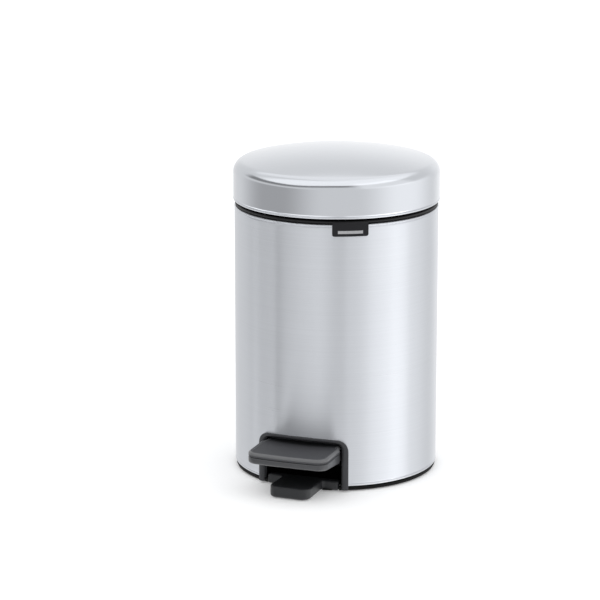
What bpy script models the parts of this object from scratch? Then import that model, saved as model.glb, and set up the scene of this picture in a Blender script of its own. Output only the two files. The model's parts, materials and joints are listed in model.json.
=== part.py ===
"""Pedal trash can: a steel cylinder on a black base, with a hinged domed lid.

The pedal at the front (-Y) turns a lever under the bucket. The lever lifts a push rod at the
rear (+Y), and the rod pushes up on a nose in front of the lid's hinge pin. Sizes are given in
millimetres from the cylinder's axis, with z = 0 on the floor, and are scaled to metres when an
object is placed. The model's origin is the middle of its footprint, so the cylinder's axis
stands AXIS_Y behind it.
"""
import math

import bmesh
import bpy
from mathutils import Vector

MM = 0.001

# Whole object
AXIS_Y = 9.75            # cylinder axis behind the middle of the footprint
GAP = 0.4                # clearance between pieces that touch on the real object
ROUND = 64               # sides of the large outer rounds
INNER = 48               # sides of the large inner rounds
SMALL = 16               # sides of pins, screws and posts

# Shell and lid
SHELL_R = 85.0
SHEET = 0.6              # thickness of the steel sheet
SHELL_Z0 = 4.5
SHELL_Z1 = 224.5
LID_R = 86.0
LID_Z0 = 229.3           # lower edge of the lid
LID_SHOULDER_Z = 252.2   # where the lid's wall turns into its shoulder
LID_FILLET = 10.0
LID_CROWN_R = 335.0

# Base
BASE_R = 82.3
FLOOR_Z0 = 3.4           # underside and top of the base's floor plate
FLOOR_Z1 = 5.0
FOOT_PAD_R = 6.0
FOOT_PAD_AT = 70.0

# Pedal opening: half widths are measured along the cylinder's face
FRAME_R = 86.7
FRAME_HALF = 41.2
FRAME_LEG = 5.6
FRAME_BAR = 3.4
FRAME_TOP = 45.6
FRAME_CROWN = 304.0      # radius of the frame's slightly arched top
FRAME_CORNER = 10.0

# Foot in front of the pedal opening
FOOT_TIP = -113.6
FOOT_TOP_BACK = 8.4
FOOT_TOP_TIP = 10.1

# Pedal
PEDAL_FRONT = -121.5
PEDAL_REAR = -71.0
PEDAL_HALF = 34.6
PEDAL_NECK = 32.3
PEDAL_TOP = 38.6
PEDAL_SPLIT = 34.4       # joint between the body and the pad
PEDAL_UNDER_BACK = 25.2  # underside at the frame and at the front
PEDAL_UNDER_FRONT = 29.3
PIVOT = (0.0, -20.0, 11.0)
LEVER_HALF = 9.0
LEVER_TIP_Y = 78.0
STRAP = 3.0

# Push rod and lid hinge
ROD_Y = 80.5
ROD_R = 1.7
PIN = (0.0, 94.0, 222.0)
PIN_R = 1.25
NOSE_ARM = 14.8
NOSE_ANGLE = math.radians(40.0)
NOSE_R = 2.2
NOSE_NECK = 1.4          # half the thickness of the bar that carries the nose
ARM_HALF = 6.8

# Bucket
BUCKET_Z0 = 31.0
BUCKET_Z1 = 213.5
BUCKET_R0 = 68.0
BUCKET_R1 = 73.5
BUCKET_WALL = 1.2
BUCKET_RIM_R = 76.0
BAIL_Z = 206.0
BAIL_R = 67.5
BAIL_WIRE = 1.4


# ---------------------------------------------------------------- materials

def material(name, colour, roughness, metallic=0.0):
    mat = bpy.data.materials.new(name)
    mat.use_nodes = True
    shader = mat.node_tree.nodes["Principled BSDF"]
    shader.inputs["Base Color"].default_value = (*colour, 1.0)
    shader.inputs["Roughness"].default_value = roughness
    shader.inputs["Metallic"].default_value = metallic
    mat.diffuse_color = (*colour, 1.0)
    return mat


# ---------------------------------------------------------------- mesh tools

def place(name, bm, mat, origin=(0.0, 0.0, 0.0), smooth=True):
    """Turn a bmesh in millimetres into an object whose origin is at the given point."""
    bmesh.ops.remove_doubles(bm, verts=bm.verts, dist=1e-5)
    bmesh.ops.recalc_face_normals(bm, faces=bm.faces)
    shift = Vector(origin)
    for vert in bm.verts:
        vert.co = (vert.co - shift) * MM
    mesh = bpy.data.meshes.new(name)
    bm.to_mesh(mesh)
    bm.free()
    if smooth:
        mesh.shade_smooth()
        mesh.set_sharp_from_angle(angle=math.radians(30.0))
    mesh.materials.append(mat)
    obj = bpy.data.objects.new(name, mesh)
    obj.location = (shift + Vector((0.0, AXIS_Y, 0.0))) * MM
    bpy.context.scene.collection.objects.link(obj)
    return obj


def combine(target, bm, operation, label):
    """Cut a bmesh from an object, or join it on, with a Boolean modifier."""
    tool = place(f"{target.name}.{label}", bm, target.data.materials[0], smooth=False)
    tool.hide_render = True
    tool.display_type = "WIRE"
    modifier = target.modifiers.new(label, "BOOLEAN")
    modifier.operation = operation
    modifier.solver = "EXACT"
    modifier.object = tool


def cut(target, bm, label):
    combine(target, bm, "DIFFERENCE", label)


def join(target, bm, label):
    combine(target, bm, "UNION", label)


def revolve(profile, sides=ROUND):
    """Spin a (radius, z) outline about the z axis; it is closed, or ends on the axis."""
    bm = bmesh.new()
    rings = []
    for radius, z in profile:
        if radius < 1e-6:
            rings.append([bm.verts.new((0.0, 0.0, z))])
            continue
        ring = []
        for i in range(sides):
            turn = 2.0 * math.pi * i / sides
            ring.append(bm.verts.new((radius * math.cos(turn), radius * math.sin(turn), z)))
        rings.append(ring)
    pairs = list(zip(rings, rings[1:]))
    if len(rings[0]) > 1:
        pairs.append((rings[-1], rings[0]))
    for low, high in pairs:
        for i in range(sides):
            j = (i + 1) % sides
            corners = [low[i % len(low)], low[j % len(low)], high[j % len(high)], high[i % len(high)]]
            face = list(dict.fromkeys(corners))
            if len(face) > 2:
                bm.faces.new(face)
    return bm


def prism(outline, axis, low, high):
    """Extrude a flat outline along an axis: x takes (y, z), y takes (x, z), z takes (x, y)."""
    def point(a, b, along):
        if axis == "x":
            return (along, a, b)
        if axis == "y":
            return (a, along, b)
        return (a, b, along)

    bm = bmesh.new()
    start = [bm.verts.new(point(a, b, low)) for a, b in outline]
    end = [bm.verts.new(point(a, b, high)) for a, b in outline]
    count = len(outline)
    bm.faces.new(start)
    bm.faces.new(end)
    for i in range(count):
        j = (i + 1) % count
        bm.faces.new((start[i], start[j], end[j], end[i]))
    return bm


def box(x0, x1, y0, y1, z0, z1):
    return prism([(x0, y0), (x1, y0), (x1, y1), (x0, y1)], "z", z0, z1)


def arc(centre, radius, start, end, steps):
    """Points of an arc, with its angles in degrees."""
    points = []
    for i in range(steps + 1):
        turn = math.radians(start + (end - start) * i / steps)
        points.append((centre[0] + radius * math.cos(turn), centre[1] + radius * math.sin(turn)))
    return points


def disc(centre, radius, sides=SMALL):
    return arc(centre, radius, 0.0, 360.0, sides)[:-1]


def rod(centre, radius, axis, low, high, sides=SMALL):
    """A cylinder along an axis, with its centre given in the plane across it."""
    return prism(disc(centre, radius, sides), axis, low, high)


def loft(sections):
    """Bridge a row of matching closed sections and cap both ends."""
    bm = bmesh.new()
    rows = [[bm.verts.new(p) for p in section] for section in sections]
    for row, following in zip(rows, rows[1:]):
        count = len(row)
        for i in range(count):
            j = (i + 1) % count
            bm.faces.new((row[i], row[j], following[j], following[i]))
    bm.faces.new(rows[0])
    bm.faces.new(rows[-1])
    return bm


def sweep(path, radius, sides=10):
    """A round bar along a path that lies in a horizontal plane."""
    sections = []
    up = Vector((0.0, 0.0, 1.0))
    for i, here in enumerate(path):
        before = Vector(path[max(i - 1, 0)])
        after = Vector(path[min(i + 1, len(path) - 1)])
        side = (after - before).normalized().cross(up)
        section = []
        for k in range(sides):
            turn = 2.0 * math.pi * k / sides
            section.append(Vector(here) + side * (radius * math.cos(turn)) + up * (radius * math.sin(turn)))
        sections.append(section)
    return loft(sections)


def on_cylinder(along, radius, z):
    """A point of the front face, from its distance along the frame's radius."""
    turn = along / FRAME_R
    return (radius * math.sin(turn), -radius * math.cos(turn), z)


def arch(half, top, corner, crown, bottom, steps=4, across=8):
    """An arched doorway outline as (along, z), from its left foot to its right foot."""
    flat = half - corner

    def crowned(along):
        return top - along * along / (2.0 * crown)

    left = [(-half, bottom)]
    left += arc((-flat, crowned(flat) - corner), corner, 180.0, 90.0, steps)
    middle = []
    for i in range(1, across):
        along = -flat + 2.0 * flat * i / across
        middle.append((along, crowned(along)))
    right = [(-along, z) for along, z in reversed(left)]
    return left + middle + right


# ---------------------------------------------------------------- bin body

def make_shell(steel):
    inner = SHELL_R - SHEET
    profile = [(inner, SHELL_Z1), (SHELL_R, SHELL_Z1), (SHELL_R, SHELL_Z0), (inner, SHELL_Z0)]
    shell = place("outer_shell", revolve(profile), steel)
    doorway = arch(FRAME_HALF - 3.0, FRAME_TOP - 1.7, 7.0, FRAME_CROWN, SHELL_Z0 - 2.0)
    outline = [on_cylinder(along, SHELL_R, z)[::2] for along, z in doorway]
    cut(shell, prism(outline, "y", -95.0, -60.0), "doorway")
    cut(shell, box(-20.0, 20.0, 70.0, 95.0, 202.6, 230.0), "hinge_notch")


def make_base(plastic):
    profile = [(0.0, FLOOR_Z0), (79.5, FLOOR_Z0), (79.5, 0.6), (BASE_R, 0.6), (84.4, 2.8), (84.4, 4.1)]
    profile += [(84.0, 4.1), (84.0, 14.0), (82.5, 14.0), (82.5, FLOOR_Z1), (0.0, FLOOR_Z1)]
    base = place("base", revolve(profile), plastic)
    cut(base, box(-31.6, 31.6, -90.0, -71.4, -1.0, 20.0), "foot_seat")
    cut(base, box(-36.8, 36.8, -90.0, -73.0, 4.3, 20.0), "frame_seat")


def make_pivot_brackets(plastic):
    """The two cheeks on the base's floor that carry the pedal's axle."""
    outline = [(-28.0, FLOOR_Z1 + GAP), (-12.0, FLOOR_Z1 + GAP), (-15.4, PIVOT[2])]
    outline += arc(PIVOT[1:], 4.6, 0.0, 180.0, 8)
    for side, label in ((-1, "left"), (1, "right")):
        low = min(side * 11.2, side * 14.0)
        bracket = place(f"pivot_bracket_{label}", prism(outline, "x", low, low + 2.8), plastic)
        cut(bracket, rod(PIVOT[1:], 2.35, "x", low - 1.0, low + 4.0), "axle_bore")


def make_bucket_pegs(plastic):
    """Four pegs on the base's floor that the bucket stands on, clear of the lever."""
    corners = ((-1, -1), (1, -1), (1, 1), (-1, 1))
    for index, (sx, sy) in enumerate(corners, start=1):
        at = (sx * 40.0, sy * 32.0)
        place(f"bucket_peg_{index}", rod(at, 4.5, "z", FLOOR_Z1 + GAP, BUCKET_Z0 - GAP), plastic)


def make_floor_pads(rubber):
    for index, angle in enumerate((40.0, 140.0, 220.0, 320.0), start=1):
        turn = math.radians(angle)
        centre = (FOOT_PAD_AT * math.cos(turn), FOOT_PAD_AT * math.sin(turn))
        place(f"rubber_foot_{index}", rod(centre, FOOT_PAD_R, "z", 0.0, FLOOR_Z0 - GAP), rubber)


def make_frame(plastic):
    """The surround of the pedal opening: a flange on the shell and a lip through it."""
    bottom = 1.5
    outer = arch(FRAME_HALF, FRAME_TOP, FRAME_CORNER, FRAME_CROWN, bottom)
    inner = arch(FRAME_HALF - FRAME_LEG, FRAME_TOP - FRAME_BAR, 5.0, FRAME_CROWN, bottom)
    face = SHELL_R + GAP
    section = [(0.0, face), (0.0, 86.4), (0.12, 86.9), (0.85, 86.9), (1.0, 86.5), (1.0, 82.4), (0.6, 82.4)]
    section += [(0.6, face)]
    sections = []
    for (along_0, z_0), (along_1, z_1) in zip(outer, inner):
        ring = []
        for share, radius in section:
            along = along_0 + (along_1 - along_0) * share
            ring.append(on_cylinder(along, radius, z_0 + (z_1 - z_0) * share))
        sections.append(ring)
    frame = place("pedal_frame", loft(sections), plastic)
    cut(frame, rod((0.0, 0.0), SHELL_R + 0.2, "z", 0.0, 4.5, 96), "lip_foot")


def foot_top(y):
    """Height of the foot's tongue, which rises a little towards its tip."""
    return FOOT_TOP_BACK + (FOOT_TOP_TIP - FOOT_TOP_BACK) * (y + 76.0) / (FOOT_TIP + 76.0)


def make_anti_tip_foot(plastic):
    half = 17.5
    tip = FOOT_TIP
    outline = [(half, -76.0), (-half, -76.0)]
    outline += arc((-half + 8.0, tip + 8.0), 8.0, 180.0, 270.0, 5)
    outline += arc((half - 8.0, tip + 8.0), 8.0, 270.0, 360.0, 5)
    sections = [[(x, y, 0.5) for x, y in outline], [(x, y, foot_top(y)) for x, y in outline]]
    foot = place("anti_tip_foot", loft(sections), plastic)
    join(foot, box(-31.0, 31.0, -79.3, -71.8, 0.9, 8.2), "wing")
    join(foot, box(-12.0, 12.0, -72.5, -60.0, FLOOR_Z1 + GAP, 8.0), "root")


def make_ring(plastic):
    profile = [(77.0, 219.0), (78.2, 219.0), (78.2, 225.6), (82.8, 225.6), (82.8, 214.0), (84.0, 214.0)]
    profile += [(84.0, 227.6), (83.2, 228.5), (78.0, 228.5), (77.0, 227.7)]
    ring = place("top_ring", revolve(profile), plastic)
    cut(ring, box(-20.4, 20.4, 70.0, 90.0, 210.0, 221.0), "housing_notch")
    cut(ring, box(-8.6, 8.6, 70.0, 90.0, 210.0, 230.0), "arm_window")
    for sx in (-1, 1):
        cut(ring, rod(bumper_place(sx), 1.3, "z", 224.0, 230.0, 12), f"bumper_hole_{sx}")


def bumper_place(side):
    turn = math.radians(50.0)
    return (side * 81.8 * math.sin(turn), -81.8 * math.cos(turn))


def make_bumpers(rubber):
    for side, label in ((-1, "left"), (1, "right")):
        bumper = place(f"ring_bumper_{label}", rod(bumper_place(side), 0.9, "z", 226.2, 229.0, 12), rubber)
        join(bumper, rod(bumper_place(side), 1.7, "z", 228.8, 229.5, 12), "cap")


def make_tag(plastic):
    """A thin curved tag that hangs over the shell's top edge, right of the front."""
    section = [(85.35, 215.3), (86.1, 215.3), (86.1, 226.2), (85.6, 226.8), (84.3, 226.8), (84.3, 224.9)]
    section += [(85.35, 224.9)]
    sections = []
    for i in range(9):
        turn = math.radians(17.9 + 19.8 * i / 8)
        sections.append([(r * math.sin(turn), -r * math.cos(turn), z) for r, z in section])
    place("name_tag", loft(sections), plastic)


def outside_shell():
    return rod((0.0, 0.0), SHELL_R + 0.5, "z", 150.0, 260.0, 96)


def make_housing(plastic):
    """The hinge block on the shell's rear: two ears for the pin and a slot for the arm."""
    housing = place("hinge_housing", box(-24.0, 24.0, 72.0, 94.0, 203.0, 224.2), plastic)
    cut(housing, outside_shell(), "shell_face")
    for sx in (-1, 1):
        tongue = box(min(sx * 9.0, sx * 19.5), max(sx * 9.0, sx * 19.5), 82.4, 88.0, 203.4, 220.0)
        join(housing, tongue, f"tongue_{sx}")
    cut(housing, box(-7.8, 7.8, 70.0, 102.0, 206.0, 230.0), "arm_slot")
    for sx in (-1, 1):
        low = min(sx * 8.2, sx * 12.6)
        high = max(sx * 8.2, sx * 12.6)
        outline = [(88.2, 214.0), (100.0, 214.0)] + arc(PIN[1:], 6.0, 0.0, 180.0, 10)
        join(housing, prism(outline, "x", low, high), f"ear_{sx}")
        cut(housing, rod((sx * 14.5, 211.0), 1.5, "y", 70.0, 92.0, 12), f"screw_hole_{sx}")
    cut(housing, rod(PIN[1:], PIN_R + GAP, "x", -30.0, 30.0), "pin_bore")


def make_cover(plastic):
    """The rounded cap over the hinge block, with a pocket for the fingers below it."""
    outline = [(27.0, 72.0)] + arc((19.0, 94.0), 8.0, 0.0, 90.0, 6)
    outline += arc((-19.0, 94.0), 8.0, 90.0, 180.0, 6) + [(-27.0, 72.0)]
    cover = place("hinge_cover", prism(outline, "z", 188.0, 221.5), plastic)
    cut(cover, outside_shell(), "shell_face")
    cut(cover, box(-24.4, 24.4, 60.0, 94.4, 202.6, 230.0), "block_seat")
    cut(cover, box(-13.1, 13.1, 60.0, 100.6, 213.5, 230.0), "ear_slot")
    cut(cover, box(-8.3, 8.3, 60.0, 110.0, 213.0, 230.0), "arm_slot")
    cut(cover, box(-21.0, 21.0, 60.0, 98.5, 180.0, 199.0), "finger_pocket")


def make_hinge_hardware(steel):
    place("hinge_pin", rod(PIN[1:], PIN_R, "x", -12.4, 12.4), steel, PIN)
    for side, label in ((-1, "left"), (1, "right")):
        at = (side * 14.5, 211.0)
        screw = place(f"hinge_screw_{label}", rod(at, 1.1, "y", 80.4, 91.0, 10), steel)
        join(screw, rod(at, 2.2, "y", 79.6, 80.8, 12), "head")


def make_rod_guide(plastic):
    guide = place("rod_guide", box(-7.5, 7.5, 77.4, 83.4, 188.0, 196.0), plastic)
    cut(guide, rod((0.0, ROD_Y), ROD_R + GAP, "z", 180.0, 200.0), "bore")


def make_damper(plastic):
    centre = (16.5, 75.5)
    damper = place("damper_cylinder", rod(centre, 4.0, "z", FLOOR_Z1 + GAP, 46.0), plastic)
    cut(damper, rod(centre, 2.35, "z", 9.0, 50.0), "bore")


def make_axle(steel):
    place("pedal_axle", rod(PIVOT[1:], 1.95, "x", -16.6, 16.6), steel, PIVOT)
    for side, label in ((-1, "left"), (1, "right")):
        low = min(side * 14.4, side * 15.4)
        clip = place(f"axle_clip_{label}", rod(PIVOT[1:], 4.0, "x", low, low + 1.0), steel, PIVOT)
        cut(clip, rod(PIVOT[1:], 2.35, "x", low - 1.0, low + 2.0), "bore")


# ---------------------------------------------------------------- pedal

def pedal_plan(inset=0.0, corner=10.0):
    """The pedal from above: full width in front of the frame, and a neck that enters it."""
    half = PEDAL_HALF - inset
    neck = PEDAL_NECK - inset
    front = PEDAL_FRONT + inset
    bow = 1.0
    left = [(-neck, PEDAL_REAR + inset), (-neck, -80.8), (-half, -84.8)]
    left += arc((-half + corner, front + bow + corner), corner, 180.0, 262.0, 5)
    right = [(-x, y) for x, y in reversed(left)]
    return left + [(0.0, front)] + right


def underside(y):
    share = (y + 80.0) / (PEDAL_FRONT + 80.0)
    return PEDAL_UNDER_BACK + (PEDAL_UNDER_FRONT - PEDAL_UNDER_BACK) * share


def make_pedal(plastic, pad_material):
    outline = pedal_plan()
    sections = [
        [(x, y, underside(y)) for x, y in pedal_plan(1.2, 9.0)],
        [(x, y, underside(y) + 1.2) for x, y in outline],
        [(x, y, PEDAL_SPLIT - 0.3) for x, y in outline],
    ]
    body = place("pedal_body", loft(sections), plastic, PIVOT)
    sections = [
        [(x, y, PEDAL_SPLIT) for x, y in pedal_plan(0.9, 9.4)],
        [(x, y, PEDAL_SPLIT + 0.5) for x, y in outline],
        [(x, y, PEDAL_TOP - 2.4) for x, y in outline],
        [(x, y, PEDAL_TOP - 0.8) for x, y in pedal_plan(0.8, 9.4)],
        [(x, y, PEDAL_TOP) for x, y in pedal_plan(2.6, 8.0)],
    ]
    place("pedal_pad", loft(sections), pad_material, PIVOT)
    for side in (-1, 1):
        cut(body, rod((side * 5.0, -76.6), 1.9, "z", 20.0, 30.0, 12), f"rivet_hole_{side}")


def make_lever(steel):
    """A steel strap from the pedal, over the pivot, to a rounded tip under the push rod."""
    front = -83.0
    bend = -70.5
    top = [(front, underside(front) - GAP), (bend, underside(bend) - GAP)]
    top += [(-22.0, PIVOT[2] + STRAP / 2), (LEVER_TIP_Y, PIVOT[2] + STRAP / 2)]
    under = [(LEVER_TIP_Y, PIVOT[2] - STRAP / 2), (-24.0, PIVOT[2] - STRAP / 2)]
    under += [(bend - 0.8, top[1][1] - STRAP), (front, top[0][1] - STRAP)]
    lever = place("pedal_lever", prism(top + under, "x", -LEVER_HALF, LEVER_HALF), steel, PIVOT)
    join(lever, rod(PIVOT[1:], 4.2, "x", -10.5, 10.5), "barrel")
    join(lever, rod((LEVER_TIP_Y, PIVOT[2]), 3.0, "x", -8.5, 8.5), "tip")
    cut(lever, rod(PIVOT[1:], 2.35, "x", -20.0, 20.0), "bore")
    for side, label in ((-1, "left"), (1, "right")):
        at = (side * 5.0, -76.6)
        cut(lever, rod(at, 1.9, "z", 10.0, 35.0, 12), f"rivet_hole_{label}")
        rivet = place(f"pedal_rivet_{label}", rod(at, 1.5, "z", 20.5, 29.5, 12), steel, PIVOT)
        join(rivet, rod(at, 2.6, "z", 20.2, 20.9, 12), "head")


# ---------------------------------------------------------------- push rod

def make_push_rod(steel, plastic):
    axis = (0.0, ROD_Y, 0.0)
    place("push_rod", rod((0.0, ROD_Y), ROD_R, "z", 18.2, 206.0), steel, axis)
    outline = [(77.6, 204.0), (83.4, 204.0), (83.4, 207.4), (82.3, 209.4), (77.6, 209.4)]
    head = place("rod_head", prism(outline, "x", -5.0, 5.0), plastic, axis)
    cut(head, rod((0.0, ROD_Y), ROD_R + GAP, "z", 200.0, 206.4), "socket")
    foot = place("rod_foot", box(-6.0, 6.0, 73.8, 82.2, 14.8, 17.8), plastic, axis)
    join(foot, box(-4.0, 4.0, 77.4, 83.2, 17.0, 23.0), "boss")
    cut(foot, rod((0.0, ROD_Y), ROD_R + GAP, "z", 17.8, 30.0), "socket")
    damper = Vector((16.5, 75.5))
    along = (damper - Vector((0.0, ROD_Y))).normalized()
    heading = math.degrees(math.atan2(along.y, along.x))
    outline = arc((0.0, ROD_Y), 3.2, heading + 90.0, heading + 270.0, 6)
    outline += arc(damper, 3.2, heading - 90.0, heading + 90.0, 6)
    link = place("damper_link", prism(outline, "z", 50.0, 53.0), plastic, axis)
    cut(link, rod((0.0, ROD_Y), ROD_R + GAP, "z", 40.0, 60.0), "bore")
    place("damper_piston", rod(damper, 1.9, "z", 12.0, 49.6), steel, axis)


# ---------------------------------------------------------------- lid

def dome(radius, sheet, steps=5):
    """The lid's section from its lower edge over the shoulder to the middle."""
    inset = SHEET if sheet else 0.0
    fillet = LID_FILLET - inset
    centre = (LID_R - LID_FILLET, LID_SHOULDER_Z)
    reach = LID_CROWN_R - LID_FILLET
    crown_z = centre[1] - math.sqrt(reach * reach - centre[0] * centre[0])
    meet = math.degrees(math.acos(centre[0] / reach))
    points = [(radius - inset, LID_Z0)] + arc(centre, fillet, 0.0, meet, steps)
    edge = points[-1][0]
    crown = LID_CROWN_R - inset
    for i in range(1, steps + 1):
        r = edge * (1.0 - i / steps)
        points.append((r, crown_z + math.sqrt(crown * crown - r * r)))
    return points


def make_lid(steel, plastic):
    outer = dome(LID_R, False)
    inner = dome(LID_R, True)
    shell = place("lid_shell", revolve(outer[::-1] + inner), steel, PIN)
    profile = [(0.0, 252.4), (83.4, 252.4), (84.9, 250.8), (84.9, 229.8), (82.2, 229.8), (82.2, 250.9)]
    profile += [(0.0, 250.9)]
    liner = place("lid_liner", revolve(profile, INNER), plastic, PIN)
    notch = (-8.3, 8.3, 70.0, 90.0, 225.0, 237.2)
    cut(shell, box(*notch), "arm_notch")
    cut(liner, box(*notch), "arm_notch")
    for side in (-1, 1):
        cut(liner, rod((side * 9.5, 242.0), 1.5, "y", 79.0, 87.0, 12), f"screw_hole_{side}")


def make_lid_arm(plastic, steel):
    pin = Vector(PIN[1:])
    toward = Vector((-math.cos(NOSE_ANGLE), -math.sin(NOSE_ANGLE)))
    above = Vector((toward.y, -toward.x))
    nose = pin + toward * NOSE_ARM
    heading = math.degrees(NOSE_ANGLE)
    outline = [(79.0, 231.0), (79.0, 236.6), (97.4, 236.6), (98.8, 224.0)]
    outline += arc(pin, 5.0, 10.0, -100.0, 7)
    outline += [tuple(pin + toward * 5.0 - above * NOSE_NECK)]
    outline += arc(nose, NOSE_R, 360.0 - heading, 180.0 - heading, 10)
    outline += [tuple(pin + toward * 5.0 + above * NOSE_NECK), (89.1, 224.0), (89.1, 231.0)]
    arm = place("lid_hinge_arm", prism(outline, "x", -ARM_HALF, ARM_HALF), plastic, PIN)
    join(arm, box(-12.2, 12.2, 78.0, 80.8, 232.0, 248.0), "plate")
    cut(arm, rod(PIN[1:], PIN_R + GAP, "x", -20.0, 20.0), "pin_bore")
    for side, label in ((-1, "left"), (1, "right")):
        at = (side * 9.5, 242.0)
        cut(arm, rod(at, 1.5, "y", 70.0, 84.0, 12), f"screw_hole_{label}")
        screw = place(f"lid_screw_{label}", rod(at, 1.1, "y", 77.2, 83.6, 10), steel, PIN)
        join(screw, rod(at, 2.2, "y", 76.6, 77.6, 12), "head")


# ---------------------------------------------------------------- bucket

def bucket_radius(z):
    return BUCKET_R0 + (BUCKET_R1 - BUCKET_R0) * (z - BUCKET_Z0) / (BUCKET_Z1 - BUCKET_Z0)


def make_bucket(plastic):
    wall = BUCKET_WALL
    top = BUCKET_Z1
    profile = [(0.0, BUCKET_Z0), (BUCKET_R0 - 2.0, BUCKET_Z0), (BUCKET_R0, BUCKET_Z0 + 2.0)]
    profile += [(bucket_radius(top - 4.5), top - 4.5), (BUCKET_RIM_R, top - 4.5), (BUCKET_RIM_R, top - 0.8)]
    profile += [(BUCKET_RIM_R - 0.8, top), (bucket_radius(top) - wall + 0.4, top)]
    profile += [(bucket_radius(top) - wall, top - 0.6), (BUCKET_R0 - wall, BUCKET_Z0 + 3.0)]
    profile += [(BUCKET_R0 - 3.0, BUCKET_Z0 + 1.5), (0.0, BUCKET_Z0 + 1.5)]
    bucket = place("inner_bucket", revolve(profile, INNER), plastic)
    cut(bucket, rod((0.0, BAIL_Z), BAIL_WIRE + GAP, "x", -90.0, 90.0, 12), "bail_holes")


def make_bail(steel, plastic):
    pivot = (0.0, 0.0, BAIL_Z)
    path = [(73.6, 0.0, BAIL_Z), (70.6, 0.0, BAIL_Z), (68.6, -1.0, BAIL_Z)]
    for x, y in arc((0.0, 0.0), BAIL_R, -4.0, -176.0, 26):
        path.append((x, y, BAIL_Z))
    path += [(-x, y, z) for x, y, z in path[2::-1]]
    place("bucket_handle", sweep(path, BAIL_WIRE), steel, pivot)
    run = [(x, y, BAIL_Z) for x, y in arc((0.0, 0.0), BAIL_R, -76.0, -104.0, 8)]
    grip = place("handle_grip", sweep(run, 3.0, 12), plastic, pivot)
    longer = [(x, y, BAIL_Z) for x, y in arc((0.0, 0.0), BAIL_R, -70.0, -110.0, 12)]
    cut(grip, sweep(longer, BAIL_WIRE + GAP, 12), "bore")


def main():
    for obj in list(bpy.data.objects):
        bpy.data.objects.remove(obj, do_unlink=True)
    brushed = material("brushed_steel", (0.62, 0.62, 0.63), 0.28, 1.0)
    lid_steel = material("satin_lid_steel", (0.66, 0.66, 0.67), 0.36, 1.0)
    hardware = material("zinc_hardware", (0.55, 0.56, 0.58), 0.35, 1.0)
    black = material("black_plastic", (0.014, 0.014, 0.015), 0.42)
    grey = material("dark_grey_plastic", (0.045, 0.047, 0.052), 0.38)
    bucket_plastic = material("bucket_plastic", (0.020, 0.020, 0.022), 0.50)
    tag_plastic = material("tag_plastic", (0.012, 0.012, 0.013), 0.30)
    rubber = material("rubber", (0.018, 0.018, 0.018), 0.85)
    make_shell(brushed)
    make_base(black)
    make_pivot_brackets(black)
    make_bucket_pegs(black)
    make_floor_pads(rubber)
    make_frame(grey)
    make_anti_tip_foot(grey)
    make_ring(black)
    make_bumpers(rubber)
    make_tag(tag_plastic)
    make_housing(black)
    make_cover(black)
    make_hinge_hardware(hardware)
    make_rod_guide(black)
    make_damper(black)
    make_axle(hardware)
    make_pedal(grey, grey)
    make_lever(hardware)
    make_push_rod(hardware, black)
    make_lid(lid_steel, black)
    make_lid_arm(black, hardware)
    make_bucket(bucket_plastic)
    make_bail(hardware, grey)


main()
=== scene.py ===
"""Looks of the pedal trash can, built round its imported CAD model.

Shapes are made in millimetres from the can's upright axis, with z = 0 on the floor and the
pedal towards -Y, and are scaled to metres when they become pieces. Large sizes come from the
frame; the small ones that its boxes don't show are named below.
"""
import json
import math

import bmesh
import bpy
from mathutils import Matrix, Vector


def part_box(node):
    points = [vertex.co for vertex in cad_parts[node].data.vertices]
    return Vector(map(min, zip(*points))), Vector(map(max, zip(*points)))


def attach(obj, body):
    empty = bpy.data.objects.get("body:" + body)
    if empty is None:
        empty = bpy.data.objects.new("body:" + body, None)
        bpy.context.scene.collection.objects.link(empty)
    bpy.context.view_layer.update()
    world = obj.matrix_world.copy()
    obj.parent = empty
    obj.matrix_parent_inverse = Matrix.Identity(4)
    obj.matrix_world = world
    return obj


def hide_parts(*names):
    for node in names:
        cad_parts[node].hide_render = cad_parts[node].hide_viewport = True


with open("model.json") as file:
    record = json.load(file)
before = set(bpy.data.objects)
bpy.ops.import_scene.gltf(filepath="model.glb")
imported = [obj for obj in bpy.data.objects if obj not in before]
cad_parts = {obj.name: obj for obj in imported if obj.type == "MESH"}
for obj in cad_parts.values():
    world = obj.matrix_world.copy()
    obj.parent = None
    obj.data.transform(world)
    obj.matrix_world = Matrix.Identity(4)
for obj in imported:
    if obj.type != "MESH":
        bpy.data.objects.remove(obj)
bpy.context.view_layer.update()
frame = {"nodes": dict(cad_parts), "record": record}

MM = 0.001
FINE = 192               # sides of the large rounds
NODES = frame["nodes"]
RECORD = frame["record"]
BODY_OF = {node: body for body, nodes in RECORD["behaviour"]["bodies"].items() for node in nodes}
SLOT_OF = {part["node"]: part["material_slot"] for part in RECORD["subparts"]}
AXIS_Y = sum(corner.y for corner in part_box("outer_shell")) / 2.0 / MM


def extent(node):
    """A CAD node's lowest and highest corners, in millimetres from the can's axis."""
    shift = Vector((0.0, AXIS_Y, 0.0))
    low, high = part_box(node)
    return low / MM - shift, high / MM - shift


SHELL_LOW, SHELL_HIGH = extent("outer_shell")
SHELL_R = SHELL_HIGH.x
SHEET = 0.6              # thickness of the steel sheet
LID_LOW, LID_HIGH = extent("lid_shell")
LID_R = LID_HIGH.x
LID_SHOULDER_Z = LID_HIGH.z - 19.0
LID_FILLET = 10.0
LID_CROWN_R = 335.0
RING_LOW, RING_HIGH = extent("top_ring")
BASE_LOW, BASE_HIGH = extent("base")
FRAME_LOW, FRAME_HIGH = extent("pedal_frame")
FRAME_R = 86.7           # radius that the opening's widths are measured along
FRAME_HALF = 41.2
FRAME_LEG = 5.6
FRAME_BAR = 3.4
FRAME_CROWN = 304.0
PEDAL_LOW, PEDAL_HIGH = extent("pedal_body")
PAD_LOW, PAD_HIGH = extent("pedal_pad")
PEDAL_NECK = 32.3        # half width of the neck, and where and how far it flares
NECK_Y = -80.4
NECK_FLARE = 4.6
RIVET_X = 5.0
RIVET_Y = -76.6
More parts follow.
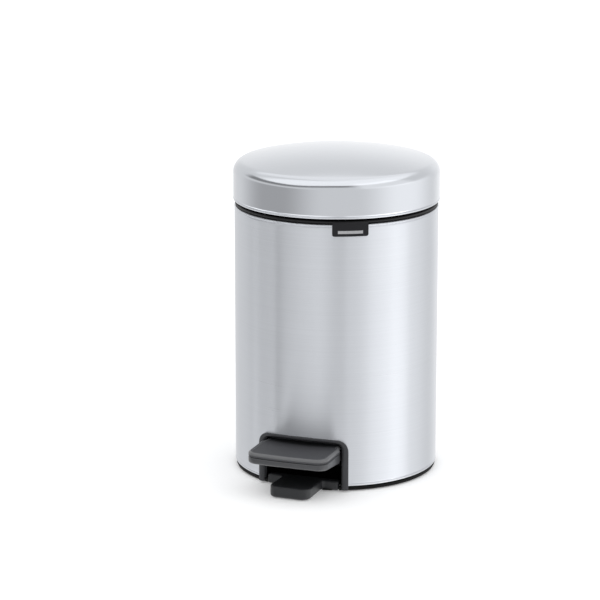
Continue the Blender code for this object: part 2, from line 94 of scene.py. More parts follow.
FOOT_LOW, FOOT_HIGH = extent("anti_tip_foot")
FOOT_HALF = 17.5         # half width of the tongue, without its cross bar
COVER_LOW, COVER_HIGH = extent("hinge_cover")
HOUSING_Z = 202.6        # underside of the room left for the hinge housing
ARM_SLOT_HALF = 8.3      # half width of the slot that the lid's hinge arm moves in
LINER_LOW, LINER_HIGH = extent("lid_liner")
BUCKET_LOW, BUCKET_HIGH = extent("inner_bucket")
TAG_LOW, TAG_HIGH = extent("name_tag")
TAG_FROM = 17.9          # where the tag starts and how far it runs, in degrees off the front
TAG_RUN = 19.8
BAIL_R = 67.5
BAIL_WIRE = 1.4
BAIL_Z = sum(corner.z for corner in extent("bucket_handle")) / 2.0
VIEW_TURN = 20.2         # the camera stands this many degrees off the front, to the right


# ---------------------------------------------------------------- mesh tools

def revolve(profile, sides=FINE):
    """Spin a (radius, z) outline about the z axis; it is closed, or ends on the axis."""
    bm = bmesh.new()
    rings = []
    for radius, z in profile:
        if radius < 1e-6:
            rings.append([bm.verts.new((0.0, 0.0, z))])
            continue
        ring = []
        for i in range(sides):
            turn = 2.0 * math.pi * i / sides
            ring.append(bm.verts.new((radius * math.cos(turn), radius * math.sin(turn), z)))
        rings.append(ring)
    pairs = list(zip(rings, rings[1:]))
    if len(rings[0]) > 1:
        pairs.append((rings[-1], rings[0]))
    for low, high in pairs:
        for i in range(sides):
            j = (i + 1) % sides
            corners = [low[i % len(low)], low[j % len(low)], high[j % len(high)], high[i % len(high)]]
            face = list(dict.fromkeys(corners))
            if len(face) > 2:
                bm.faces.new(face)
    return bm


def loft(sections):
    """Bridge a row of matching closed sections and cap both ends."""
    bm = bmesh.new()
    rows = [[bm.verts.new(point) for point in section] for section in sections]
    for row, following in zip(rows, rows[1:]):
        for i in range(len(row)):
            j = (i + 1) % len(row)
            bm.faces.new((row[i], row[j], following[j], following[i]))
    bm.faces.new(rows[0])
    bm.faces.new(rows[-1])
    return bm


def prism(outline, axis, low, high):
    """Extrude a flat outline along an axis: y takes (x, z) and z takes (x, y)."""
    if axis == "y":
        return loft([[(a, along, b) for a, b in outline] for along in (low, high)])
    return loft([[(a, b, along) for a, b in outline] for along in (low, high)])


def box(x0, x1, y0, y1, z0, z1):
    return prism([(x0, y0), (x1, y0), (x1, y1), (x0, y1)], "z", z0, z1)


def arc(centre, radius, start, end, steps):
    """Points of an arc, with its angles in degrees."""
    points = []
    for i in range(steps + 1):
        turn = math.radians(start + (end - start) * i / steps)
        points.append((centre[0] + radius * math.cos(turn), centre[1] + radius * math.sin(turn)))
    return points


def rod(centre, radius, low, high, sides=24):
    """An upright round bar."""
    step = 360.0 / sides
    return prism(arc(centre, radius, 0.0, 360.0 - step, sides - 1), "z", low, high)


def sweep(path, radii, sides=20):
    """A round bar along a level path, with a radius for each of its points."""
    up = Vector((0.0, 0.0, 1.0))
    sections = []
    for i, (here, radius) in enumerate(zip(path, radii)):
        ahead = Vector(path[min(i + 1, len(path) - 1)]) - Vector(path[max(i - 1, 0)])
        side = ahead.normalized().cross(up)
        ring = []
        for k in range(sides):
            turn = 2.0 * math.pi * k / sides
            ring.append(Vector(here) + side * radius * math.cos(turn) + up * radius * math.sin(turn))
        sections.append(ring)
    return loft(sections)


def to_mesh(name, bm, scale=1.0, shift=(0.0, 0.0, 0.0)):
    bmesh.ops.remove_doubles(bm, verts=bm.verts, dist=1e-5)
    bmesh.ops.recalc_face_normals(bm, faces=bm.faces)
    for vert in bm.verts:
        vert.co = (vert.co + Vector(shift)) * scale
    mesh = bpy.data.meshes.new(name)
    bm.to_mesh(mesh)
    bm.free()
    return mesh


def carve(bm, *tools):
    """Cut closed bmeshes out of another, and return what is left."""
    solids = []
    for solid in (bm, *tools):
        obj = bpy.data.objects.new("solid", to_mesh("solid", solid))
        bpy.context.scene.collection.objects.link(obj)
        solids.append(obj)
    for tool in solids[1:]:
        modifier = solids[0].modifiers.new("cut", "BOOLEAN")
        modifier.operation = "DIFFERENCE"
        modifier.solver = "EXACT"
        modifier.object = tool
    left = bmesh.new()
    left.from_object(solids[0], bpy.context.evaluated_depsgraph_get())
    for obj in solids:
        bpy.data.meshes.remove(obj.data)
    return left


def soften(obj, width, segments=3):
    """Round an object's sharp edges, with a width in millimetres."""
    bevel = obj.modifiers.new("soft_edges", "BEVEL")
    bevel.width = width * MM
    bevel.segments = segments
    bevel.limit_method = "ANGLE"
    bevel.angle_limit = math.radians(35.0)
    bevel.harden_normals = True


def piece(name, bm, material, nodes, soft=0.0, segments=3):
    """Make a piece that rides with the CAD nodes it stands for, in place of them, with the material given.
    """
    mesh = to_mesh(name, bm, MM, (0.0, AXIS_Y, 0.0))
    mesh.shade_smooth()
    mesh.set_sharp_from_angle(angle=math.radians(32.0))
    mesh.materials.append(material)
    obj = bpy.data.objects.new(name, mesh)
    bpy.context.scene.collection.objects.link(obj)
    if soft:
        soften(obj, soft, segments)
    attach(obj, BODY_OF[nodes[0]])
    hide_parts(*nodes)
    return obj


def round_wall(obj):
    """Give the upright faces of a round piece the normals of a true cylinder."""
    mesh = obj.data
    normals = [Vector(corner.vector) for corner in mesh.corner_normals]
    for face in mesh.polygons:
        outward = Vector((face.center.x, face.center.y - AXIS_Y * MM, 0.0)).normalized()
        facing = face.normal.dot(outward)
        if abs(facing) < 0.995:
            continue
        for loop in face.loop_indices:
            point = mesh.vertices[mesh.loops[loop].vertex_index].co
            radial = Vector((point.x, point.y - AXIS_Y * MM, 0.0)).normalized()
            normals[loop] = radial if facing > 0.0 else -radial
    mesh.normals_split_custom_set(normals)


# ---------------------------------------------------------------- node tools

def wire(tree, value, socket):
    """Link a socket to an input, or set the input's value."""
    if isinstance(value, bpy.types.NodeSocket):
        tree.links.new(value, socket)
    else:
        socket.default_value = value


def calc(tree, operation, *values):
    node = tree.nodes.new("ShaderNodeMath")
    node.operation = operation
    for socket, value in zip(node.inputs, values):
        wire(tree, value, socket)
    return node.outputs[0]


def remap(tree, value, start, end, low, high, smooth=False):
    node = tree.nodes.new("ShaderNodeMapRange")
    node.interpolation_type = "SMOOTHSTEP" if smooth else "LINEAR"
    for socket, number in zip(node.inputs, (value, start, end, low, high)):
        wire(tree, number, socket)
    return node.outputs[0]


def grain(tree, scale, detail=4.0, stretch=(1.0, 1.0, 1.0)):
    """Noise over the object's own coordinates, with a scale in cycles per metre."""
    place = tree.nodes.new("ShaderNodeTexCoord")
    mapping = tree.nodes.new("ShaderNodeMapping")
    mapping.inputs["Scale"].default_value = stretch
    noise = tree.nodes.new("ShaderNodeTexNoise")
    noise.inputs["Scale"].default_value = scale
    noise.inputs["Detail"].default_value = detail
    tree.links.new(place.outputs["Object"], mapping.inputs["Vector"])
    tree.links.new(mapping.outputs["Vector"], noise.inputs["Vector"])
    return noise.outputs["Fac"]


def tint(tree, shader, colour, value, spread):
    """Let a noise lighten and darken a colour by a share of itself."""
    mix = tree.nodes.new("ShaderNodeMix")
    mix.data_type = "RGBA"
    inputs = [s for s in mix.inputs if s.type == "RGBA"]
    inputs[0].default_value = (*[c * (1.0 - spread) for c in colour], 1.0)
    inputs[1].default_value = (*[c * (1.0 + spread) for c in colour], 1.0)
    tree.links.new(value, mix.inputs[0])
    result = [s for s in mix.outputs if s.type == "RGBA"][0]
    tree.links.new(result, shader.inputs["Base Color"])


def relief(tree, shader, value, height, strength):
    """Bump the surface with a noise, with its height in millimetres."""
    bump = tree.nodes.new("ShaderNodeBump")
    bump.inputs["Strength"].default_value = strength
    bump.inputs["Distance"].default_value = height * MM
    tree.links.new(value, bump.inputs["Height"])
    tree.links.new(bump.outputs["Normal"], shader.inputs["Normal"])


def new_material(name):
    material = bpy.data.materials.new(name)
    material.use_nodes = True
    return material, material.node_tree, material.node_tree.nodes["Principled BSDF"]


# ---------------------------------------------------------------- materials

STEEL_COLOUR = (0.60, 0.615, 0.645)


def brushed_steel():
    """Body sheet: brushed round the can, so that reflections smear up and down."""
    material, tree, shader = new_material("brushed_steel")
    streaks = grain(tree, 1.0, 3.0, (7.0, 7.0, 3200.0))
    cloud = grain(tree, 14.0, 2.0)
    tint(tree, shader, STEEL_COLOUR, streaks, 0.075)
    patchy = remap(tree, cloud, 0.3, 0.7, -0.012, 0.012)
    streaky = remap(tree, streaks, 0.2, 0.8, 0.27, 0.34)
    wire(tree, calc(tree, "ADD", patchy, streaky), shader.inputs["Roughness"])
    relief(tree, shader, streaks, 0.004, 0.40)
    shader.inputs["Metallic"].default_value = 1.0
    shader.inputs["Anisotropic"].default_value = 1.0
    shader.inputs["Anisotropic Rotation"].default_value = 0.25
    tangent = tree.nodes.new("ShaderNodeTangent")
    tangent.direction_type = "RADIAL"
    tangent.axis = "Z"
    tree.links.new(tangent.outputs["Tangent"], shader.inputs["Tangent"])
    return material


def satin_steel():
    """Lid sheet: pressed and satin, with only a trace of grain."""
    material, tree, shader = new_material("satin_lid_steel")
    speck = grain(tree, 2600.0, 2.0)
    cloud = grain(tree, 16.0, 2.0)
    tint(tree, shader, STEEL_COLOUR, speck, 0.02)
    wire(tree, remap(tree, cloud, 0.3, 0.7, 0.13, 0.16), shader.inputs["Roughness"])
    relief(tree, shader, speck, 0.002, 0.15)
    shader.inputs["Metallic"].default_value = 1.0
    return material


def zinc():
    material, tree, shader = new_material("zinc_hardware")
    speck = grain(tree, 900.0, 4.0)
    tint(tree, shader, (0.50, 0.51, 0.52), speck, 0.10)
    wire(tree, remap(tree, speck, 0.25, 0.75, 0.28, 0.44), shader.inputs["Roughness"])
    relief(tree, shader, speck, 0.01, 0.3)
    shader.inputs["Metallic"].default_value = 1.0
    return material


def moulded(name, colour, roughness, grain_scale=1900.0, height=0.02, spread=0.10, shine=0.5):
    """Moulded plastic or rubber: a fine eroded grain with faint, broad colour changes."""
    material, tree, shader = new_material(name)
    fine = grain(tree, grain_scale, 3.0)
    broad = grain(tree, 30.0, 2.0)
    tint(tree, shader, colour, broad, spread)
    low = roughness - 0.05
    wire(tree, remap(tree, fine, 0.25, 0.75, low, roughness + 0.05), shader.inputs["Roughness"])
    relief(tree, shader, fine, height, 0.5)
    shader.inputs["Specular IOR Level"].default_value = shine
    return material


STEEL = brushed_steel()
LID_STEEL = satin_steel()
ZINC = zinc()
BLACK = moulded("black_plastic", (0.008, 0.008, 0.009), 0.46, shine=0.25)
GREY = moulded("dark_grey_plastic", (0.046, 0.047, 0.051), 0.32)
PAD = moulded("pedal_pad_plastic", (0.046, 0.047, 0.052), 0.55, 1500.0, 0.04)
SURROUND = moulded("surround_plastic", (0.042, 0.043, 0.047), 0.50, shine=0.32)
# Pale grey for the pedal's rounded lip: a painted highlight standing in for the light that the lip
# catches.
PAINTED_LIP_HIGHLIGHT = moulded("pedal_lip_painted_highlight", (0.120, 0.121, 0.125), 0.34, 1900.0, 0.01)
FOOT = moulded("foot_plastic", (0.019, 0.020, 0.022), 0.44, shine=0.36)
BASE = moulded("base_plastic", (0.004, 0.004, 0.004), 0.65, shine=0.1)
BUCKET = moulded("bucket_plastic", (0.020, 0.020, 0.022), 0.50, 1400.0, 0.03)
TAG = moulded("tag_plastic", (0.007, 0.007, 0.009), 0.34, 2400.0, 0.01, shine=0.25)
MARK = moulded("tag_mark", (0.36, 0.36, 0.37), 0.45, 2400.0, 0.01, 0.04)
RUBBER = moulded("rubber", (0.018, 0.018, 0.018), 0.85, 1100.0, 0.05)
FINISH = {"body_steel": STEEL, "lid_steel": LID_STEEL, "zinc_hardware": ZINC, "black_plastic": BLACK,
          "grey_plastic": GREY, "bucket_plastic": BUCKET, "tag_plastic": TAG, "rubber": RUBBER}


# ---------------------------------------------------------------- shell and lid

def on_cylinder(along, radius, z):
    """A point of the front face, from its distance along the frame's radius."""
    turn = along / FRAME_R
    return (radius * math.sin(turn), -radius * math.cos(turn), z)


def arch(half, top, corner, crown, bottom, steps=12, across=40):
    """An arched doorway outline as (along, z), from its left foot to its right foot."""
    flat = half - corner

    def crowned(along):
        return top - along * along / (2.0 * crown)

    left = [(-half, bottom)]
    left += arc((-flat, crowned(flat) - corner), corner, 180.0, 90.0, steps)
    middle = []
    for i in range(1, across):
        along = -flat + 2.0 * flat * i / across
        middle.append((along, crowned(along)))
    return left + middle + [(-along, z) for along, z in reversed(left)]


def hem(radius, edge, direction, roll=0.9):
    """A rolled edge as (radius, z) from the wall to the edge: a shallow groove, then a bead."""
    points = [(radius, edge - direction * 3.0), (radius - 0.14, edge - direction * 2.3)]
    for i in range(9):
        turn = math.radians(-70.0 + 160.0 * i / 8)
        bulge = radius - 0.75 + roll * math.cos(turn)
        points.append((bulge, edge - direction * (roll - roll * math.sin(turn))))
    return points


def make_shell():
    low, high = SHELL_LOW.z, SHELL_HIGH.z
    outer = hem(SHELL_R, low, -1.0)[::-1] + hem(SHELL_R, high, 1.0)
    inner = SHELL_R - SHEET
    profile = outer + [(inner - 0.15, high - 0.4), (inner, high - 2.2)]
    profile += [(inner, low + 2.2), (inner - 0.15, low + 0.4)]
    doorway = arch(FRAME_HALF - 3.0, FRAME_HIGH.z - 1.7, 7.0, FRAME_CROWN, low - 2.0)
    outline = [on_cylinder(along, SHELL_R, z)[::2] for along, z in doorway]
    front = prism(outline, "y", -95.0, -60.0)
    rear = box(-20.0, 20.0, 70.0, 95.0, HOUSING_Z, 230.0)
    round_wall(piece("shell_sheet", carve(revolve(profile), front, rear), STEEL, ["outer_shell"]))


def dome(inset, steps=14, rings=26):
    """The lid's section from above its hem, over the shoulder, to the middle."""
    centre = (LID_R - LID_FILLET, LID_SHOULDER_Z)
    reach = LID_CROWN_R - LID_FILLET
    crown_z = centre[1] - math.sqrt(reach * reach - centre[0] * centre[0])
    meet = math.degrees(math.acos(centre[0] / reach))
    points = arc(centre, LID_FILLET - inset, 0.0, meet, steps)
    edge = points[-1][0]
    crown = LID_CROWN_R - inset
    for i in range(1, rings + 1):
        radius = edge * (1.0 - i / rings)
        points.append((radius, crown_z + math.sqrt(crown * crown - radius * radius)))
    return points


def arm_notch():
    """The cutter that lets the hinge arm out through the rear of the lid."""
    return box(-ARM_SLOT_HALF, ARM_SLOT_HALF, 70.0, 90.0, 225.0, 237.2)


def make_lid():
    low = LID_LOW.z
    outer = hem(LID_R, low, -1.0)[::-1] + dome(0.0)
    inner = [(LID_R - SHEET - 0.15, low + 0.4), (LID_R - SHEET, low + 2.2)] + dome(SHEET)
    sheet = carve(revolve(outer[::-1] + inner), arm_notch())
    round_wall(piece("lid_sheet", sheet, LID_STEEL, ["lid_shell"]))


def make_liner():
    low, high = LINER_LOW.z, LINER_HIGH.z
    wall = LINER_HIGH.x
    under = high - 1.5
    profile = [(0.0, high), (wall - 1.5, high)] + arc((wall - 1.5, high - 1.5), 1.5, 90.0, 0.0, 6)
    profile += [(wall, low + 0.4), (wall - 0.4, low), (wall - 2.3, low), (wall - 2.7, low + 0.4)]
    profile += [(wall - 2.7, under - 2.0)] + arc((wall - 4.7, under - 2.0), 2.0, 0.0, 90.0, 6)
    for radius in (66.0, 44.0, 22.0):
        profile += [(radius + 1.2, under), (radius + 0.6, under - 0.7), (radius - 0.6, under - 0.7)]
        profile += [(radius - 1.2, under)]
    profile += [(0.0, under)]
    piece("lid_lining", carve(revolve(profile, 144), arm_notch()), BLACK, ["lid_liner"])


def make_ring():
    """The black ring round the mouth, with the bead that shows between shell and lid."""
    low, high = RING_LOW.z, RING_HIGH.z
    outer, inner = RING_HIGH.x, RING_HIGH.x - 7.0
    bead = arc((outer - 0.35, high - 1.9), 1.05, -70.0, 75.0, 10)
    profile = [(outer, low), (outer, high - 4.0), (outer - 0.5, high - 3.3)] + bead
    profile += [(outer - 1.6, high - 0.5), (outer - 2.4, high)]
    profile += arc((inner + 1.0, high - 1.0), 1.0, 90.0, 180.0, 6)
    profile += [(inner, high - 9.5), (inner + 1.2, high - 9.5), (inner + 1.2, high - 2.9)]
    profile += [(outer - 1.2, high - 2.9), (outer - 1.2, low)]
    housing = box(-20.4, 20.4, 70.0, 90.0, 210.0, 221.0)
    window = box(-8.6, 8.6, 70.0, 90.0, 210.0, 230.0)
    holes = []
    for low_corner, high_corner in (extent("ring_bumper_left"), extent("ring_bumper_right")):
        centre = (low_corner + high_corner) / 2.0
        holes.append(rod(centre[:2], 1.3, 224.0, 230.0))
    piece("mouth_ring", carve(revolve(profile), housing, window, *holes), BLACK, ["top_ring"])


def tag_bend(turn_degrees, section):
    turn = math.radians(turn_degrees)
    return [(r * math.sin(turn), -r * math.cos(turn), z) for r, z in section]


def make_tag():
    """The clip-on tag: round lower corners, and a plain pale bar in place of lettering."""
    face = SHELL_R + 1.1
    corner = 1.6
    length = math.radians(TAG_RUN) * face
    sections = []
    for i in range(49):
        share = 0.5 - 0.5 * math.cos(math.pi * i / 48)
        inside = min(share, 1.0 - share) * length
        drop = max(corner - inside, 0.0)
        low = TAG_LOW.z + corner - math.sqrt(corner * corner - drop * drop)
        top = TAG_HIGH.z
        section = [(face - 0.75, low), (face - 0.2, low), (face, low + 0.2), (face, top - 0.9)]
        section += [(face - 0.12, top - 0.4), (face - 0.45, top), (face - 1.8, top)]
        section += [(face - 1.8, top - 1.9), (face - 0.75, top - 1.9)]
        sections.append(tag_bend(TAG_FROM + TAG_RUN * share, section))
    piece("tag_plate", loft(sections), TAG, ["name_tag"])
    middle = TAG_FROM + TAG_RUN / 2.0
    bar = [(face - 0.1, TAG_LOW.z + 2.2), (face + 0.08, TAG_LOW.z + 2.3), (face + 0.08, TAG_LOW.z + 4.7)]
    bar += [(face - 0.1, TAG_LOW.z + 4.8)]
    strips = [tag_bend(middle - 6.8 + 13.6 * i / 24, bar) for i in range(25)]
    mesh = to_mesh("tag_bar", loft(strips), MM, (0.0, AXIS_Y, 0.0))
    mesh.materials.append(MARK)
    mark = bpy.data.objects.new("tag_bar", mesh)
    bpy.context.scene.collection.objects.link(mark)
    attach(mark, BODY_OF["name_tag"])


# ---------------------------------------------------------------- base, frame, pedal and foot

def make_base():
    rim, lip = BASE_HIGH.x - 2.1, BASE_HIGH.x
    floor_low, floor_high = 3.4, 5.0
    profile = [(0.0, floor_low), (rim - 2.8, floor_low), (rim - 2.8, BASE_LOW.z), (lip - 0.9, BASE_LOW.z)]
    profile += [(lip - 0.5, BASE_LOW.z + 0.3), (lip - 0.2, 1.6)]
    profile += arc((lip - 0.5, 3.4), 0.5, -20.0, 90.0, 6)
    profile += [(lip - 0.4, 4.1), (lip - 0.4, BASE_HIGH.z), (lip - 1.9, BASE_HIGH.z)]
    profile += [(lip - 1.9, floor_high), (0.0, floor_high)]
    foot_seat = box(-31.6, 31.6, -79.6, -71.4, -1.0, 20.0)
    wing_seat = box(-31.6, 31.6, -90.0, -79.0, 1.5, 20.0)
    tongue_seat = box(-18.4, 18.4, -90.0, -79.0, -1.0, 20.0)
    frame_seat = box(-36.8, 36.8, -90.0, -73.0, 4.3, 20.0)
    body = carve(revolve(profile), foot_seat, wing_seat, tongue_seat, frame_seat)
    piece("base_plate", body, BASE, ["base"])


def make_frame():
    """The surround of the pedal opening, wrapped on the shell, with soft edges."""
    bottom = FRAME_LOW.z
    outer = arch(FRAME_HALF, FRAME_HIGH.z, 10.0, FRAME_CROWN, bottom)
    inner = arch(FRAME_HALF - FRAME_LEG, FRAME_HIGH.z - FRAME_BAR + 0.7, 5.0, FRAME_CROWN, bottom)
    face = SHELL_R + 0.4
    section = [(0.0, face), (0.0, face + 0.7), (0.03, face + 1.15), (0.10, face + 1.4), (0.20, face + 1.5)]
    section += [(0.62, face + 1.5), (0.74, face + 1.35), (0.86, face + 0.9), (0.96, face + 0.3)]
    section += [(1.0, face - 0.4), (1.0, face - 3.0), (0.6, face - 3.0), (0.6, face)]
    sections = []
    for (along_0, z_0), (along_1, z_1) in zip(outer, inner):
        ring = []
        for share, radius in section:
            along = along_0 + (along_1 - along_0) * share
            ring.append(on_cylinder(along, radius, z_0 + (z_1 - z_0) * share))
        sections.append(ring)
    behind = rod((0.0, 0.0), SHELL_R + 0.2, 0.0, 4.5, 180)
    piece("opening_frame", carve(loft(sections), behind), SURROUND, ["pedal_frame"])


def pedal_plan(inset=0.0, corner=10.0):
    """The pedal from above: full width in front of the frame, and a neck that enters it."""
    half, neck = PEDAL_HIGH.x - inset, PEDAL_NECK - inset
    front = PEDAL_LOW.y + inset
    bow = 1.0
    left = [(-neck, PEDAL_HIGH.y - inset)]
    for i in range(7):
        share = i / 6
        ease = share * share * (3.0 - 2.0 * share)
        left.append((-neck - (half - neck) * ease, NECK_Y - NECK_FLARE * share))
    left += arc((-half + corner, front + bow + corner), corner, 180.0, 266.0, 16)
    flat = half - corner
    middle = [(flat * t / 6.0, front + bow * (t / 6.0) ** 2 * 0.95) for t in range(-5, 6)]
    return left + middle + [(-x, y) for x, y in reversed(left)]


def pedal_under(y):
    """Height of the pedal's underside, which rises towards its front."""
    back, front = 25.2, 29.3
    return back + (front - back) * (y + 80.0) / (PEDAL_LOW.y + 80.0)


def make_pedal():
    split = PAD_LOW.z
    sections = []
    for i in range(6):
        turn = math.radians(90.0 * i / 5)
        inset = 1.6 * (1.0 - math.sin(turn))
        rise = 1.6 * (1.0 - math.cos(turn))
        sections.append([(x, y, pedal_under(y) + rise) for x, y in pedal_plan(inset, 10.0 - inset)])
    sections.append([(x, y, split - 0.9) for x, y in pedal_plan()])
    sections.append([(x, y, split - 0.3) for x, y in pedal_plan(0.5, 9.5)])
    holes = [rod((side * RIVET_X, RIVET_Y), 1.9, 20.0, 30.0) for side in (-1, 1)]
    piece("pedal_block", carve(loft(sections), *holes), GREY, ["pedal_body"])


def make_pad():
    """The tread: a rounded lip round a matte panel that lies a little lower, with a painted highlight on
    the lip.
    """
    split, top = PAD_LOW.z, PAD_HIGH.z
    radius = 2.4
    sections = [[(x, y, split) for x, y in pedal_plan(0.9, 9.1)]]
    sections.append([(x, y, split + 0.5) for x, y in pedal_plan(0.1, 9.9)])
    for i in range(9):
        turn = math.radians(90.0 * i / 8)
        inset = radius * (1.0 - math.cos(turn))
        height = top - radius + radius * math.sin(turn)
        sections.append([(x, y, height) for x, y in pedal_plan(inset, 10.0 - inset)])
    sections.append([(x, y, top - 0.05) for x, y in pedal_plan(3.0, 7.0)])
    sections.append([(x, y, top - 0.35) for x, y in pedal_plan(3.4, 6.6)])
    tread = piece("pedal_tread", loft(sections), PAD, ["pedal_pad"])
    # The faces of the rounded lip take the lighter material: a painted highlight along the lip.
    tread.data.materials.append(PAINTED_LIP_HIGHLIGHT)
    for face in tread.data.polygons:
        height = face.center.z / MM
        if top - radius < height < top - 0.02 and face.normal.z < 0.97:
            face.material_index = 1


def make_foot():
    """The tongue that stops the can from tipping, filleted into its cross bar."""
    half, wide = FOOT_HALF, FOOT_HIGH.x
    tip, bar, rear = FOOT_LOW.y, -79.3, -71.8
    end_corner, fillet, tip_corner = 1.6, 3.2, 8.0
    right = [(wide, rear)] + arc((wide - end_corner, bar + end_corner), end_corner, 0.0, -90.0, 6)
    right += arc((half + fillet, bar - fillet), fillet, 90.0, 180.0, 8)
    right += arc((half - tip_corner, tip + tip_corner), tip_corner, 0.0, -90.0, 14)
    outline = right + [(-x, y) for x, y in reversed(right)]
    back_y, back_z = -76.0, 8.3
    climb = (FOOT_HIGH.z - back_z) / (tip - back_y)
    top = [(x, y, back_z + climb * (y - back_y)) for x, y in outline]
    tongue = loft([[(x, y, FOOT_LOW.z) for x, y in outline], top])
    piece("tip_guard", tongue, FOOT, ["anti_tip_foot"], soft=1.5, segments=5)


# ---------------------------------------------------------------- hinge cover and bucket

def make_cover():
    """The rounded cap over the hinge block, with a pocket for the fingers below it."""
    half, rear = COVER_HIGH.x, COVER_HIGH.y
    corner = 8.0
    outline = [(half, 72.0)] + arc((half - corner, rear - corner), corner, 0.0, 90.0, 16)
    outline += [(-x, y) for x, y in reversed(outline)]
    low, high = COVER_LOW.z, COVER_HIGH.z
    shell_face = rod((0.0, 0.0), SHELL_R + 0.5, 150.0, 260.0, 180)
    block = box(-24.4, 24.4, 60.0, 94.4, HOUSING_Z, 230.0)
    ears = box(-13.1, 13.1, 60.0, 100.6, 213.5, 230.0)
    slot = box(-ARM_SLOT_HALF, ARM_SLOT_HALF, 60.0, 110.0, 213.0, 230.0)
    pocket = box(-21.0, 21.0, 60.0, 98.5, 180.0, 199.0)
    body = carve(prism(outline, "z", low, high), shell_face, block, ears, slot, pocket)
    piece("hinge_cap", body, BLACK, ["hinge_cover"], soft=0.5)


def make_bucket():
    low, top = BUCKET_LOW.z, BUCKET_HIGH.z
    foot, rim = 68.0, BUCKET_HIGH.x
    mouth, wall = 73.5, 1.2

    def side(z):
        return foot + (mouth - foot) * (z - low) / (top - low)

    profile = [(0.0, low), (foot - 4.0, low)] + arc((foot - 3.0, low + 3.0), 3.0, -90.0, 0.0, 8)
    profile += [(side(top - 4.5), top - 4.5), (rim - 0.4, top - 4.5), (rim, top - 4.1)]
    profile += arc((rim - 1.6, top - 1.6), 1.6, 0.0, 90.0, 6) + [(side(top) - wall + 0.6, top)]
    profile += [(side(top) - wall, top - 0.6), (side(low + 6.0) - wall, low + 6.0)]
    profile += [(foot - 5.0, low + 1.5), (0.0, low + 1.5)]
    hole = arc((0.0, BAIL_Z), BAIL_WIRE + 0.4, 0.0, 345.0, 23)
    bore = loft([[(x, y, z) for y, z in hole] for x in (-90.0, 90.0)])
    piece("bucket_tub", carve(revolve(profile, 144), bore), BUCKET, ["inner_bucket"])


def make_bail():
    ends = [(73.6, 0.0, BAIL_Z), (70.6, 0.0, BAIL_Z), (69.2, -0.3, BAIL_Z), (68.2, -1.8, BAIL_Z)]
    bow = [(x, y, BAIL_Z) for x, y in arc((0.0, 0.0), BAIL_R, -4.0, -176.0, 90)]
    path = ends + bow + [(-x, y, z) for x, y, z in reversed(ends)]
    piece("bail_wire", sweep(path, [BAIL_WIRE] * len(path)), ZINC, ["bucket_handle"])
    run = [(x, y, BAIL_Z) for x, y in arc((0.0, 0.0), BAIL_R, -76.0, -104.0, 84)]
    ribs = [2.85 + 0.15 * math.cos(2.0 * math.pi * i / 7) for i in range(len(run))]
    longer = [(x, y, BAIL_Z) for x, y in arc((0.0, 0.0), BAIL_R, -70.0, -110.0, 60)]
    bore = sweep(longer, [BAIL_WIRE + 0.4] * len(longer))
    piece("bail_grip", carve(sweep(run, ribs, 28), bore), GREY, ["handle_grip"])


def dress_small_nodes():
    """The CAD nodes that stay: their edges are softened and they get the fine materials."""
    for node, obj in NODES.items():
        if obj.hide_render:
            continue
        for slot in obj.material_slots:
            slot.material = FINISH[SLOT_OF[node]]
        weld = obj.modifiers.new("weld", "WELD")
        weld.merge_threshold = 0.01 * MM
        soften(obj, 0.22, 2)


# ---------------------------------------------------------------- studio

# Soft panels round the can. Each has its azimuth to the right of the camera, half width and soft
# edge, then its elevation, half height and soft edge, all in degrees, and the light it adds.
PANELS = (
    (-75.0, 12.0, 50.0, -13.0, 8.0, 12.0, -0.38),      # dark side of the room
    (-75.0, 50.0, 30.0, -70.0, 40.0, 12.0, 0.60),      # pale floor close to the can
    (82.0, 8.0, 52.0, -30.0, 36.0, 14.0, 0.42),        # window's bounce, low on the right
    (165.0, 10.0, 30.0, -30.0, 40.0, 25.0, 0.20),      # pale wall behind
    (180.0, 30.0, 35.0, 90.0, 50.0, 5.0, 0.30),        # ceiling light's far end, behind the can
    (53.0, 40.0, 2.5, -50.0, 22.0, 10.0, 0.36),        # window on the right, in three bays
    (67.0, 26.0, 2.5, -50.0, 22.0, 10.0, 0.28),
    (82.0, 11.0, 2.5, -50.0, 22.0, 10.0, 0.40),
    (-109.0, 3.0, 3.0, -52.0, 28.0, 8.0, 0.50),        # upright bands of the room on the left
    (-72.0, 2.5, 3.0, -52.0, 28.0, 8.0, -0.70),
    (60.0, 26.0, 14.0, 32.0, 20.0, 10.0, 0.24),        # head of the window
)
# The ceiling light and the dark rim under it hang lower towards the left.
LEANING = (
    (15.0, 100.0, 40.0, 90.0, 44.0, 6.0, 0.46),
    (-50.0, 60.0, 20.0, 35.0, 5.0, 6.0, -0.60),
)
LEAN = 15.0
AMBIENT = 0.92
DARKEST = 0.08
BACKDROP = 1.2           # what the camera itself sees behind the can

# Camera: its lens in millimetres, then its place and aim from the can's axis, in metres
LENS = 165.4
CAMERA_AWAY = 2.246
CAMERA_Z = 0.709
AIM_LEFT = 0.0304
AIM_Z = 0.1411


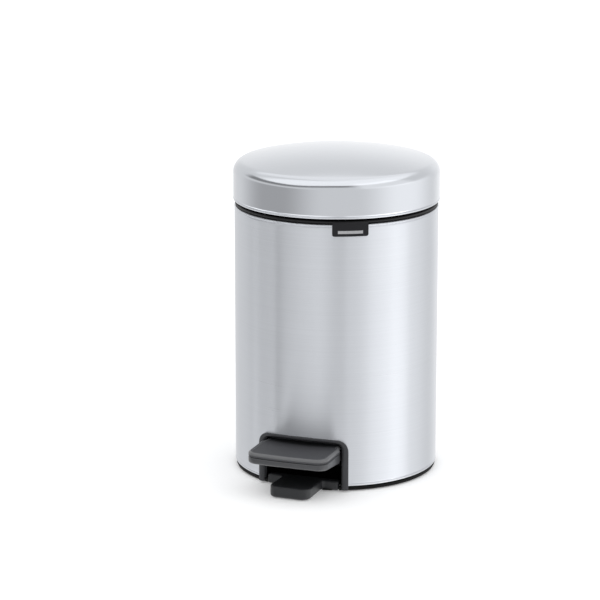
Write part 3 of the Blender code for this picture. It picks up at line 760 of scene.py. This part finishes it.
def make_world():
    """Studio light as soft panels on the sky; the camera itself sees plain white."""
    world = bpy.data.worlds.new("studio")
    world.use_nodes = True
    bpy.context.scene.world = world
    tree = world.node_tree
    place = tree.nodes.new("ShaderNodeTexCoord")
    split = tree.nodes.new("ShaderNodeSeparateXYZ")
    tree.links.new(place.outputs["Generated"], split.inputs["Vector"])
    x, y, z = split.outputs
    turn = calc(tree, "DEGREES", calc(tree, "ARCTAN2", x, calc(tree, "MULTIPLY", y, -1.0)))
    azimuth = calc(tree, "SUBTRACT", turn, VIEW_TURN)
    elevation = calc(tree, "DEGREES", calc(tree, "ARCSINE", z))
    leaned = calc(tree, "ADD", elevation, remap(tree, azimuth, -60.0, 0.0, LEAN, 0.0, True))
    light = AMBIENT
    rows = [(*panel, elevation) for panel in PANELS] + [(*panel, leaned) for panel in LEANING]
    for centre, half, soft, height, reach, edge, strength, level in rows:
        across = calc(tree, "PINGPONG", calc(tree, "SUBTRACT", azimuth, centre), 180.0)
        above = calc(tree, "ABSOLUTE", calc(tree, "SUBTRACT", level, height))
        share = remap(tree, across, half, half + soft, strength, 0.0, True)
        window = remap(tree, above, reach, reach + edge, 1.0, 0.0, True)
        light = calc(tree, "ADD", light, calc(tree, "MULTIPLY", share, window))
    path = tree.nodes.new("ShaderNodeLightPath")
    seen = path.outputs["Is Camera Ray"]
    light = calc(tree, "MAXIMUM", light, DARKEST)
    strength = calc(tree, "MAXIMUM", light, calc(tree, "MULTIPLY", seen, BACKDROP))
    tree.links.new(strength, tree.nodes["Background"].inputs["Strength"])
    tree.nodes["Background"].inputs["Color"].default_value = (0.985, 0.992, 1.0, 1.0)


def make_floor():
    """A plain pale floor, lifted a little so that the shadows on it stay light."""
    bm = bmesh.new()
    bmesh.ops.create_circle(bm, cap_ends=True, segments=96, radius=4.0)
    mesh = bpy.data.meshes.new("floor")
    bm.to_mesh(mesh)
    bm.free()
    material, tree, shader = new_material("pale_floor")
    tint(tree, shader, (0.90, 0.90, 0.90), grain(tree, 3.0, 2.0), 0.01)
    shader.inputs["Roughness"].default_value = 0.9
    shader.inputs["Emission Color"].default_value = (1.0, 1.0, 1.0, 1.0)
    path = tree.nodes.new("ShaderNodeLightPath")
    lift = calc(tree, "MULTIPLY", path.outputs["Is Camera Ray"], 0.18)
    tree.links.new(lift, shader.inputs["Emission Strength"])
    mesh.materials.append(material)
    floor = bpy.data.objects.new("floor", mesh)
    floor.location.z = -0.0002
    floor.visible_glossy = False
    bpy.context.scene.collection.objects.link(floor)


def make_camera():
    """Stands to the right of the pedal, and looks a little down and left of the can's axis."""
    axis = Vector((0.0, AXIS_Y * MM, 0.0))
    turn = math.radians(VIEW_TURN)
    away = Vector((math.sin(turn), -math.cos(turn), 0.0))
    right = Vector((math.cos(turn), math.sin(turn), 0.0))
    data = bpy.data.cameras.new("camera")
    data.lens = LENS
    data.sensor_width = 36.0
    camera = bpy.data.objects.new("camera", data)
    camera.location = axis + away * CAMERA_AWAY + Vector((0.0, 0.0, CAMERA_Z))
    target = axis - right * AIM_LEFT + Vector((0.0, 0.0, AIM_Z))
    camera.rotation_euler = (target - camera.location).to_track_quat("-Z", "Y").to_euler()
    bpy.context.scene.collection.objects.link(camera)
    bpy.context.scene.camera = camera
    bpy.context.scene.view_settings.view_transform = "Standard"


make_shell()
make_lid()
make_liner()
make_ring()
make_tag()
make_base()
make_frame()
make_pedal()
make_pad()
make_foot()
make_cover()
make_bucket()
make_bail()
dress_small_nodes()
make_world()
make_floor()
make_camera()
